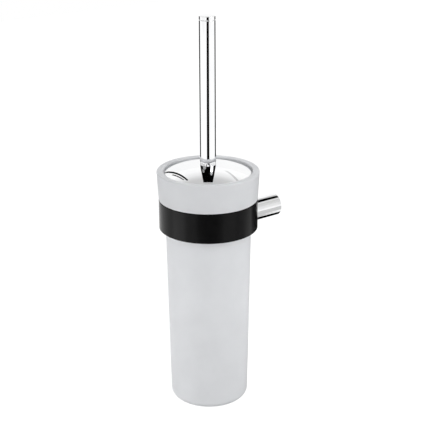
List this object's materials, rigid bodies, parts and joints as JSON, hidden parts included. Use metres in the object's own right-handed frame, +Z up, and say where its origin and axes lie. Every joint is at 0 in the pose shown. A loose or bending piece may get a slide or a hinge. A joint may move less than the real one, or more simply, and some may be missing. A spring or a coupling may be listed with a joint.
{
  "type": "toilet brush holder",
  "caption": "Wall-hung toilet brush set: stepped frosted glass tumbler in a black ring on a round chrome post, with a straight chrome handled brush whose domed lid closes the glass.",
  "frame": {"origin": "where the post's axis meets the wall: the centre of the bracket's screw hole at the wall face", "axes": "+Y into the wall, so the set faces -Y; +Z up along the handle; +X to the right of someone facing the wall"},
  "size_m": [0.103, 0.1392, 0.4037],
  "materials": {
    "chrome": "polished",
    "black_ring": "satin",
    "frosted_glass": "acid-etched",
    "liner": "moulded, translucent white",
    "zinc": "turned zinc alloy",
    "steel": "stainless, fine turned",
    "brass": "turned",
    "seal": "silicone, matt",
    "white_plastic": "moulded",
    "bristles": "nylon filament"
  },
  "bodies": {
    "holder": {"wall_bracket": "zinc", "post_tube": "chrome", "post_plug": "zinc", "grub_screw": "steel", "support_ring": "black_ring", "ring_screw": "steel", "ring_liner": "liner"},
    "glass": {"glass_tumbler": "frosted_glass"},
    "brush": {"handle_tube": "chrome", "handle_cap": "chrome", "handle_insert": "brass", "lid": "chrome", "lid_seal": "seal", "lid_washer": "steel", "spring_washer": "steel", "lock_nut": "steel", "brush_rod": "steel"},
    "head": {"brush_core": "white_plastic", "core_insert": "brass", "side_bristles": "bristles", "tip_bristles": "bristles"}
  },
  "joints": [
    {"name": "glass_lift", "type": "slide", "parent": "holder", "child": "glass", "axis": [0, 0, 1], "range_m": [0, 0.225]},
    {"name": "brush_lift", "type": "slide", "parent": "glass", "child": "brush", "axis": [0, 0, 1], "range_m": [0, 0.23]},
    {"name": "head_turn", "type": "hinge", "parent": "brush", "child": "head", "pos_m": [0, -0.0877, -0.08115], "axis": [0, 0, 1], "continuous": true}
  ]
}
